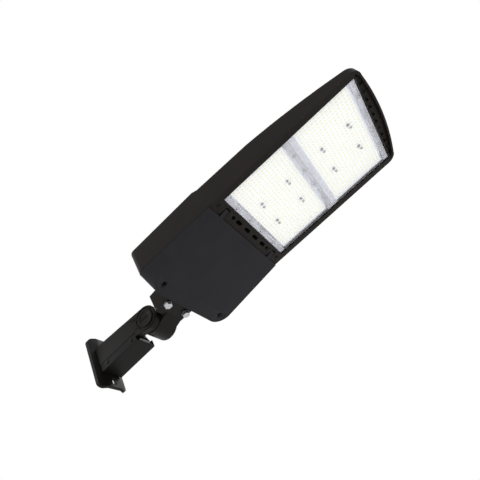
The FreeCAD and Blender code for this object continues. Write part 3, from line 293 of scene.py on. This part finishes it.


# ---------------------------------------------------------------- wiring cover and knuckle cap
# A folded aluminium channel closes the arm from below, and a cap hides the knuckle bolt's head.
# Both are coated with the arm. The folded sheet is painted a little darker, as painted shade on
# the arm's underside.

# the darker colour here is painted shade on the underside of the arm
wiring_cover_coat = powder_coat("wiring_cover_coat", colour=(0.003, 0.0027, 0.0025),
                                roughness=0.44)
soften("arm_wiring_cover", "folded_wiring_cover", 0.0007, wiring_cover_coat, "arm")
soften("knuckle_cap", "moulded_knuckle_cap", 0.0006, arm_coat, "arm")


# ---------------------------------------------------------------- tilt bracket
# Hub and tongue in one casting, which turns against the ear and bolts up under the housing's
# ledge. Its coat is as dark as the arm's.

bracket_coat = powder_coat("bracket_powder_coat", colour=(0.0048, 0.004, 0.0035), roughness=0.38)
soften("tilt_bracket", "cast_tilt_bracket", 0.0014, bracket_coat, "head")


# ---------------------------------------------------------------- housing
# The large die casting, with its fins, slotted strip and nose. Its coat is a shade lighter than
# the arm's, with the same fine texture.

housing_coat = powder_coat("housing_powder_coat", colour=(0.0078, 0.0058, 0.0047), roughness=0.42)
soften("housing", "cast_housing", 0.001, housing_coat, "head")


# ---------------------------------------------------------------- driver cover and its gasket
# The hinged cover is a separate casting. Its coat is a little cooler in tone than the housing's,
# and it is painted a little lighter as painted light on the cover's downward face, which the lamps
# below reach. A black silicone ring lies in the groove of its rim.

MOULDED_SPECULAR = 0.3
MOULDED_CLOUDS = 40
MOULDED_GRAIN_DEPTH = 0.0002

# the lighter colour here is painted light on the cover's downward face; the cooler tone is the
# coat's own
cover_coat = powder_coat("cover_powder_coat", colour=(0.0112, 0.0106, 0.0132), roughness=0.48)
soften("driver_cover", "cast_driver_cover", 0.0009, cover_coat, "door")


def moulded(name, colour, roughness, grain, strength):
    """Plastic or rubber: a slightly cloudy colour and the fine grain left by its mould."""
    material, tree, shader, place = new_material(name)
    shader.inputs["Roughness"].default_value = roughness
    shader.inputs["Specular IOR Level"].default_value = MOULDED_SPECULAR
    tint(tree, noise(tree, place, MOULDED_CLOUDS, detail=3), shader, [c * 0.9 for c in colour],
         [min(c * 1.08, 1) for c in colour], ends=(0, 1))
    relief(tree, noise(tree, place, grain), shader, strength, MOULDED_GRAIN_DEPTH)
    return material


def finish(node, material):
    """A plain node keeps its own mesh and takes a material."""
    mesh = nodes[node].data
    mesh.materials.clear()
    mesh.materials.append(material)


black_silicone = moulded("black_silicone", colour=(0.012, 0.012, 0.012), roughness=0.62,
                         grain=700, strength=0.15)
finish("cover_gasket", black_silicone)


# ---------------------------------------------------------------- bracket bolts and washers
# Two zinc-plated hex bolts hold the tongue under the housing's ledge, each on a flat washer.
# They are the only bright metal seen from below.

PLATED_GRAIN = 260
PLATED_GRAIN_DEPTH = 0.0001


def plated(name, colour, roughness, stretch=(1, 1, 1)):
    """Metal with a faint brushed grain and patches of thinner plating."""
    material, tree, shader, place = new_material(name)
    shader.inputs["Metallic"].default_value = 1
    drawn = tree.nodes.new("ShaderNodeMapping")
    drawn.inputs["Scale"].default_value = stretch
    tree.links.new(place, drawn.inputs["Vector"])
    grain = noise(tree, drawn.outputs["Vector"], PLATED_GRAIN, detail=5)
    tint(tree, grain, shader, [c * 0.72 for c in colour], [min(c * 1.1, 1) for c in colour],
         ends=(0.25, 0.75))
    sheen(tree, grain, shader, roughness - 0.08, roughness + 0.1)
    relief(tree, grain, shader, strength=0.1, depth=PLATED_GRAIN_DEPTH)
    return material


zinc = plated("bright_zinc", colour=(0.5, 0.51, 0.52), roughness=0.28, stretch=(1, 1, 3))
dull_zinc = plated("dull_zinc", colour=(0.3, 0.3, 0.31), roughness=0.45)
soften("bracket_bolts", "hex_bracket_bolts", 0.0006, zinc, "head")
soften("bracket_washers", "flat_bracket_washers", 0.0003, dull_zinc, "head")


# ---------------------------------------------------------------- knuckle bolt, nut and washers
# One large hex bolt clamps the hub against the ear, with its head under the cap and its nut in
# a recess on the other side. All are zinc plated.

soften("knuckle_bolt", "hex_knuckle_bolt", 0.0006, zinc, "arm")
soften("knuckle_nut", "hex_knuckle_nut", 0.0006, zinc, "arm")
finish("knuckle_washers", zinc)


# ---------------------------------------------------------------- arm cover screws and grommet
# Blackened pan screws hold the wiring cover's lips to the arm, and a rubber grommet lines the
# hole where the wires leave the arm.

black_steel = plated("blackened_steel", colour=(0.018, 0.017, 0.016), roughness=0.4)
soften("arm_cover_screws", "pan_arm_screws", 0.0004, black_steel, "arm")
rubber = moulded("black_rubber", colour=(0.01, 0.01, 0.01), roughness=0.7, grain=500, strength=0.2)
finish("arm_wire_grommet", rubber)


# ---------------------------------------------------------------- LED boards
# Flat aluminium boards screwed up behind the lenses. White solder mask covers them, with the
# faint relief of the tracks that join the emitters.

EMITTER_PITCH = 0.0095
TRACK_GAP = 0.0004

board_white, tree, shader, place = new_material("white_solder_mask")
tracks = tree.nodes.new("ShaderNodeTexBrick")
tracks.inputs["Scale"].default_value = 1
tracks.inputs["Brick Width"].default_value = 2 * EMITTER_PITCH
tracks.inputs["Row Height"].default_value = EMITTER_PITCH
tracks.inputs["Mortar Size"].default_value = TRACK_GAP
tracks.inputs["Color1"].default_value = (0.95, 0.955, 0.95, 1)
tracks.inputs["Color2"].default_value = (0.94, 0.945, 0.945, 1)
tracks.inputs["Mortar"].default_value = (0.87, 0.88, 0.89, 1)
tree.links.new(place, tracks.inputs["Vector"])
tree.links.new(tracks.outputs["Color"], shader.inputs["Base Color"])
shader.inputs["Roughness"].default_value = 0.45
relief(tree, tracks.outputs["Fac"], shader, strength=0.2, depth=0.0001)
for node in ("led_board_inner", "led_board_outer"):
    finish(node, board_white)


# ---------------------------------------------------------------- LED emitters
# Small yellow phosphor domes in an even grid over each board, left out round the lens posts.
# They are soldered to the board's lower face.

EMITTER_RADIUS = 0.0016
EMITTER_FLAT = 0.55
EMITTER_EDGE = 0.006
POST_ROOM = 0.0075


def islands(node):
    """Lowest and highest corner of each loose piece of a node, such as each screw of a set."""
    form = bmesh.new()
    form.from_mesh(nodes[node].data)
    bmesh.ops.remove_doubles(form, verts=form.verts, dist=WELD)
    left = set(form.verts)
    ends = []
    while left:
        wave = [left.pop()]
        group = []
        while wave:
            vert = wave.pop()
            group.append(vert.co.copy())
            for edge in vert.link_edges:
                other = edge.other_vert(vert)
                if other in left:
                    left.remove(other)
                    wave.append(other)
        ends.append((Vector([min(p[i] for p in group) for i in range(3)]),
                     Vector([max(p[i] for p in group) for i in range(3)])))
    form.free()
    return sorted(ends, key=lambda pair: tuple(pair[0]))


def point_mesh(name, places):
    mesh = bpy.data.meshes.new(name)
    mesh.from_pydata(places, [], [])
    obj = bpy.data.objects.new(name, mesh)
    scene.collection.objects.link(obj)
    return obj


def plain_mesh(obj, name):
    """The result of an object's node tree as a plain mesh of its own."""
    evaluated = obj.evaluated_get(bpy.context.evaluated_depsgraph_get())
    mesh = bpy.data.meshes.new_from_object(evaluated)
    mesh.name = name
    obj.modifiers.clear()
    piece = bpy.data.objects.new(name, mesh)
    scene.collection.objects.link(piece)
    bpy.data.objects.remove(obj)
    return piece


phosphor = moulded("yellow_phosphor", colour=(0.95, 0.84, 0.2), roughness=0.35, grain=900,
                   strength=0.05)

grid_tree = bpy.data.node_groups.new("emitter_grid", "GeometryNodeTree")
grid_tree.interface.new_socket("Geometry", in_out="OUTPUT", socket_type="NodeSocketGeometry")
sockets = {}
for label, kind in (("Length", "Float"), ("Width", "Float"), ("Along", "Int"), ("Across", "Int"),
                    ("Middle", "Vector"), ("Radius", "Float"), ("Posts", "Object")):
    sockets[label] = grid_tree.interface.new_socket(
        label, in_out="INPUT", socket_type=f"NodeSocket{kind}").identifier
add = grid_tree.nodes.new
link = grid_tree.links.new
given = add("NodeGroupInput")
grid = add("GeometryNodeMeshGrid")
link(given.outputs["Length"], grid.inputs["Size X"])
link(given.outputs["Width"], grid.inputs["Size Y"])
link(given.outputs["Along"], grid.inputs["Vertices X"])
link(given.outputs["Across"], grid.inputs["Vertices Y"])
placed = add("GeometryNodeTransform")
link(grid.outputs["Mesh"], placed.inputs["Geometry"])
link(given.outputs["Middle"], placed.inputs["Translation"])
posts = add("GeometryNodeObjectInfo")
link(given.outputs["Posts"], posts.inputs["Object"])
near = add("GeometryNodeProximity")
near.target_element = "POINTS"
link(posts.outputs["Geometry"], near.inputs[0])
inside = add("FunctionNodeCompare")
inside.operation = "LESS_THAN"
inside.inputs[1].default_value = POST_ROOM
link(near.outputs["Distance"], inside.inputs[0])
cleared = add("GeometryNodeDeleteGeometry")
link(placed.outputs["Geometry"], cleared.inputs["Geometry"])
link(inside.outputs["Result"], cleared.inputs["Selection"])
dome = add("GeometryNodeMeshIcoSphere")
dome.inputs["Subdivisions"].default_value = 2
link(given.outputs["Radius"], dome.inputs["Radius"])
flat = add("GeometryNodeTransform")
flat.inputs["Scale"].default_value = (1, 1, EMITTER_FLAT)
link(dome.outputs["Mesh"], flat.inputs["Geometry"])
spread = add("GeometryNodeInstanceOnPoints")
link(cleared.outputs["Geometry"], spread.inputs["Points"])
link(flat.outputs["Geometry"], spread.inputs["Instance"])
solid = add("GeometryNodeRealizeInstances")
link(spread.outputs["Instances"], solid.inputs["Geometry"])
painted = add("GeometryNodeSetMaterial")
painted.inputs["Material"].default_value = phosphor
link(solid.outputs["Geometry"], painted.inputs["Geometry"])
result = add("NodeGroupOutput")
link(painted.outputs["Geometry"], result.inputs[0])

post_places = [((low + high) / 2) for low, high in islands("lens_post_screws")]
for which in ("inner", "outer"):
    low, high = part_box(f"led_board_{which}")
    length = high[0] - low[0] - 2 * EMITTER_EDGE
    width = high[1] - low[1] - 2 * EMITTER_EDGE
    post_points = point_mesh(f"posts_{which}", [(p.x, p.y, low[2]) for p in post_places])
    carrier = point_mesh(f"emitter_carrier_{which}", [(0, 0, 0)])
    maker = carrier.modifiers.new("emitters", "NODES")
    maker.node_group = grid_tree
    maker[sockets["Length"]] = length
    maker[sockets["Width"]] = width
    maker[sockets["Along"]] = round(length / EMITTER_PITCH) + 1
    maker[sockets["Across"]] = round(width / EMITTER_PITCH) + 1
    maker[sockets["Middle"]] = ((low[0] + high[0]) / 2, (low[1] + high[1]) / 2, low[2])
    maker[sockets["Radius"]] = EMITTER_RADIUS
    maker[sockets["Posts"]] = post_points
    emitters = plain_mesh(carrier, f"led_emitters_{which}")
    bpy.data.objects.remove(post_points)
    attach(emitters, "head")


# ---------------------------------------------------------------- lens panels
# Clear acrylic over the emitters. The flange at each end is frosted where it is clamped, with a
# lavender cast, and the silicone under it shows through.

FLANGE_LONG = 0.0145
FLANGE_SOFT = 0.0012
LENS_ROUGHNESS = 0.18
CLEAR_COLOUR = (0.995, 0.998, 1, 1)
SOLID_SHARE_CLEAR = 0.05
SOLID_SHARE_FROSTED = 0.4
FROST_MOTTLE = 120
FROST_DARK = (0.78, 0.79, 0.87)
FROST_PALE = (0.93, 0.94, 1)

low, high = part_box("lens_inner")
length = high[0] - low[0]
joint_x = (high[0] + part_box("lens_outer")[0][0]) / 2
clear_acrylic, tree, glossy, place = new_material("clear_acrylic")
add = tree.nodes.new
link = tree.links.new
split = add("ShaderNodeSeparateXYZ")
link(place, split.inputs["Vector"])
from_joint = add("ShaderNodeMath")
from_joint.operation = "SUBTRACT"
from_joint.inputs[1].default_value = joint_x
link(split.outputs["X"], from_joint.inputs[0])
apart = add("ShaderNodeMath")
apart.operation = "ABSOLUTE"
link(from_joint.outputs[0], apart.inputs[0])
joint_band = add("ShaderNodeMapRange")
joint_band.inputs["From Min"].default_value = FLANGE_LONG + FLANGE_SOFT
joint_band.inputs["From Max"].default_value = FLANGE_LONG
end_band = add("ShaderNodeMapRange")
end_band.inputs["From Min"].default_value = length - FLANGE_LONG
end_band.inputs["From Max"].default_value = length - FLANGE_LONG + FLANGE_SOFT
link(apart.outputs[0], joint_band.inputs["Value"])
link(apart.outputs[0], end_band.inputs["Value"])
band = add("ShaderNodeMath")
band.operation = "MAXIMUM"
link(joint_band.outputs["Result"], band.inputs[0])
link(end_band.outputs["Result"], band.inputs[1])
tint(tree, noise(tree, place, FROST_MOTTLE, detail=3), glossy, FROST_DARK, FROST_PALE,
     ends=(0.35, 0.65))
glossy.inputs["Roughness"].default_value = LENS_ROUGHNESS
clear = add("ShaderNodeBsdfTransparent")
clear.inputs["Color"].default_value = CLEAR_COLOUR
how_solid = add("ShaderNodeMapRange")
how_solid.inputs["To Min"].default_value = SOLID_SHARE_CLEAR
how_solid.inputs["To Max"].default_value = SOLID_SHARE_FROSTED
link(band.outputs[0], how_solid.inputs["Value"])
mixed = add("ShaderNodeMixShader")
link(how_solid.outputs["Result"], mixed.inputs["Fac"])
link(clear.outputs["BSDF"], mixed.inputs[1])
link(glossy.outputs["BSDF"], mixed.inputs[2])
link(mixed.outputs["Shader"], tree.nodes["Material Output"].inputs["Surface"])
for node in ("lens_inner", "lens_outer"):
    soften(node, f"moulded_{node}", 0.0006, clear_acrylic, "head")

grey_silicone = moulded("grey_silicone", colour=(0.9, 0.9, 0.98), roughness=0.55, grain=600,
                        strength=0.12)
for node in ("lens_gasket_inner", "lens_gasket_outer"):
    finish(node, grey_silicone)


# ---------------------------------------------------------------- lens screws
# Small stainless pan screws with a cross recess, in rows on the flanges and one in each post.
# Every screw stopped at its own angle. Only their heads are made here.

HEAD_PROFILE = ((1, 0), (1, 0.35), (0.93, 0.68), (0.78, 0.9), (0.6, 1))
HEAD_SIDES = 32
HEAD_CREASE = math.radians(40)
RECESS_DEEP = 0.6
RECESS_CORE = 0.17
RECESS_ARM = 0.36
RECESS_TAPER = 0.8
SCREW_SEED = 7

stainless = plated("stainless_screws", colour=(0.55, 0.55, 0.56), roughness=0.32)


def pan_head(name, radius, tall):
    """Pan head seen from below: domed, with a cross recess, its seat at height 0."""
    form = bmesh.new()
    angles = [math.tau * i / HEAD_SIDES for i in range(HEAD_SIDES)]
    rings = []
    for share, height in HEAD_PROFILE:
        rings.append([form.verts.new((radius * share * math.cos(angle),
                                      radius * share * math.sin(angle), -tall * height))
                      for angle in angles])
    for share, z in ((1, -tall), (RECESS_TAPER, -tall * (1 - RECESS_DEEP))):
        ring = []
        for angle in angles:
            cross = RECESS_CORE + RECESS_ARM * abs(math.cos(2 * angle)) ** 4
            reach = radius * share * cross
            ring.append(form.verts.new((reach * math.cos(angle), reach * math.sin(angle), z)))
        rings.append(ring)
    for first, second in zip(rings, rings[1:]):
        bridge(form, first, second)
    form.faces.new(rings[0][::-1])
    form.faces.new(rings[-1])
    bmesh.ops.recalc_face_normals(form, faces=form.faces)
    mesh = bpy.data.meshes.new(name)
    form.to_mesh(mesh)
    form.free()
    mesh.shade_smooth()
    mesh.set_sharp_from_angle(angle=HEAD_CREASE)
    obj = bpy.data.objects.new(name, mesh)
    scene.collection.objects.link(obj)
    return obj


screw_tree = bpy.data.node_groups.new("screw_rows", "GeometryNodeTree")
new_socket = screw_tree.interface.new_socket
new_socket("Geometry", in_out="INPUT", socket_type="NodeSocketGeometry")
new_socket("Geometry", in_out="OUTPUT", socket_type="NodeSocketGeometry")
head_socket = new_socket("Head", in_out="INPUT", socket_type="NodeSocketObject").identifier
metal_socket = new_socket("Metal", in_out="INPUT", socket_type="NodeSocketMaterial").identifier
add = screw_tree.nodes.new
link = screw_tree.links.new
given = add("NodeGroupInput")
pick = add("GeometryNodeObjectInfo")
link(given.outputs["Head"], pick.inputs["Object"])
angle = add("FunctionNodeRandomValue")
angle.data_type = "FLOAT_VECTOR"
angle.inputs["Min"].default_value = (0, 0, 0)
angle.inputs["Max"].default_value = (0, 0, math.tau)
angle.inputs["Seed"].default_value = SCREW_SEED
spread = add("GeometryNodeInstanceOnPoints")
link(given.outputs["Geometry"], spread.inputs["Points"])
link(pick.outputs["Geometry"], spread.inputs["Instance"])
link(angle.outputs["Value"], spread.inputs["Rotation"])
solid = add("GeometryNodeRealizeInstances")
link(spread.outputs["Instances"], solid.inputs["Geometry"])
painted = add("GeometryNodeSetMaterial")
link(solid.outputs["Geometry"], painted.inputs["Geometry"])
link(given.outputs["Metal"], painted.inputs["Material"])
result = add("NodeGroupOutput")
link(painted.outputs["Geometry"], result.inputs[0])


def screw_row(node, name, tall, metal, body):
    """Pan heads in place of a node's plain screws, seen from below."""
    ends = islands(node)
    radius = (ends[0][1].x - ends[0][0].x) / 2
    head = pan_head(f"{name}_head", radius, tall)
    seats = [((low.x + high.x) / 2, (low.y + high.y) / 2, low.z + tall) for low, high in ends]
    carrier = point_mesh(f"{name}_carrier", seats)
    maker = carrier.modifiers.new("screws", "NODES")
    maker.node_group = screw_tree
    maker[head_socket] = head
    maker[metal_socket] = metal
    piece = plain_mesh(carrier, name)
    bpy.data.objects.remove(head)
    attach(piece, body)
    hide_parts(node)


screw_row("lens_end_screws", "flange_screws", 0.0024, stainless, "head")
screw_row("lens_post_screws", "post_screws", 0.0016, stainless, "head")


# ---------------------------------------------------------------- cover screws and hinge pins
# Blackened screws beside the cover's hinges, and two captive screws sunk in its face that hold
# it shut. The cover swings on two plain steel pins pressed into the housing.

screw_row("corner_screws", "corner_pan_screws", 0.0018, black_steel, "head")
screw_row("cover_screws", "captive_cover_screws", 0.005, black_steel, "door")
hinge_steel = plated("hinge_pin_steel", colour=(0.5, 0.5, 0.5), roughness=0.3, stretch=(1, 4, 1))
finish("hinge_pins", hinge_steel)


# ---------------------------------------------------------------- driver tray
# A tray of folded, plated sheet, screwed up under the housing's roof. It carries the driver and
# the devices beside it.

tray_steel = plated("plated_tray_steel", colour=(0.5, 0.51, 0.52), roughness=0.4,
                    stretch=(0.3, 3, 1))
soften("driver_tray", "folded_driver_tray", 0.0004, tray_steel, "head")
screw_row("tray_screws", "tray_pan_screws", 0.003, zinc, "head")


# ---------------------------------------------------------------- LED driver
# A long drawn aluminium case with the grain of its drawing along it, held to the tray by plated
# screws through its feet.

driver_case = plated("drawn_driver_case", colour=(0.6, 0.61, 0.62), roughness=0.42,
                     stretch=(3, 0.3, 1))
soften("led_driver", "drawn_led_driver", 0.0015, driver_case, "head")
screw_row("driver_screws", "driver_pan_screws", 0.0024, zinc, "head")


# ---------------------------------------------------------------- surge protector and terminals
# A black plastic surge protector and a white nylon terminal block, both moulded with rounded
# edges and fixed to the tray.

device_case = moulded("device_case", colour=(0.02, 0.02, 0.023), roughness=0.5, grain=450,
                      strength=0.25)
soften("surge_protector", "moulded_surge_protector", 0.0012, device_case, "head")
terminal_nylon = moulded("terminal_nylon", colour=(0.78, 0.76, 0.7), roughness=0.5, grain=600,
                         strength=0.15)
soften("terminal_block", "moulded_terminal_block", 0.0005, terminal_nylon, "head")


# ---------------------------------------------------------------- cable gland and ground screw
# A black nylon gland in the end wall lets the supply cord in, and a brass hex screw beside it
# bonds the ground wire to the casting.

gland_nylon = moulded("gland_nylon", colour=(0.012, 0.012, 0.013), roughness=0.48, grain=500,
                      strength=0.2)
soften("cable_gland", "moulded_cable_gland", 0.0007, gland_nylon, "head")
brass = plated("ground_brass", colour=(0.66, 0.5, 0.2), roughness=0.32)
soften("ground_screw", "hex_ground_screw", 0.0003, brass, "head")


# ---------------------------------------------------------------- leads
# Insulated wires inside the head: a black one from the gland to the terminals, and red ones from
# the driver to the lamp modules.

black_wire = moulded("black_insulation", colour=(0.014, 0.014, 0.014), roughness=0.42, grain=300,
                     strength=0.1)
red_wire = moulded("red_insulation", colour=(0.4, 0.012, 0.01), roughness=0.4, grain=300,
                   strength=0.1)
finish("supply_lead", black_wire)
finish("lamp_leads", red_wire)
